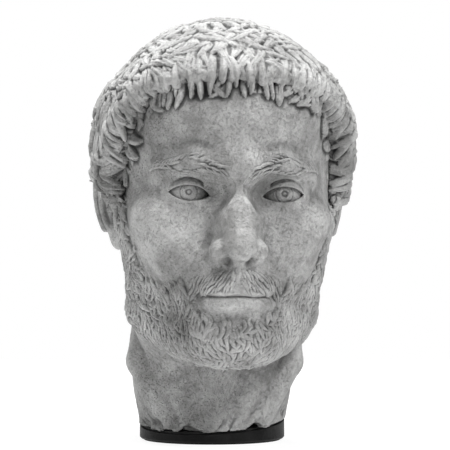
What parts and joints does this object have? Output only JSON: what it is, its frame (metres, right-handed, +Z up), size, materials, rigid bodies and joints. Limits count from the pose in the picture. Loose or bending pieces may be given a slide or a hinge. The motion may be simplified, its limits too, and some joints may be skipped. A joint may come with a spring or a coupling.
{
  "type": "marble bust",
  "caption": "Life-size carved marble head of a bearded man, lifting off a steel pin on a low black round mount.",
  "frame": {"origin": "middle of the mount's underside, on the axis of the mounting pin", "axes": "+Z up along the pin, -Y is the way the bust faces, +X is to the right of a viewer who faces it"},
  "size_m": [0.1928, 0.24, 0.3101],
  "materials": {
    "marble": "weathered, finely pitted matt stone",
    "resin": "cast, matt",
    "steel": "turned",
    "brass": "turned",
    "black_paint": "satin black paint",
    "pad_rubber": "matt",
    "felt": "felt"
  },
  "bodies": {
    "mount": {"mount_block": "black_paint", "bedding_pad": "pad_rubber", "mounting_pin": "steel", "locating_dowel": "steel", "pin_washer": "steel", "thin_nut": "steel", "base_felt": "felt"},
    "head": {"marble_head": "marble", "sleeve_resin": "resin", "pin_sleeve": "steel", "dowel_sleeve": "brass"}
  },
  "joints": [
    {"name": "head_lift", "type": "slide", "parent": "mount", "child": "head", "axis": [0, 0, 1], "range_m": [0, 0.12]}
  ]
}
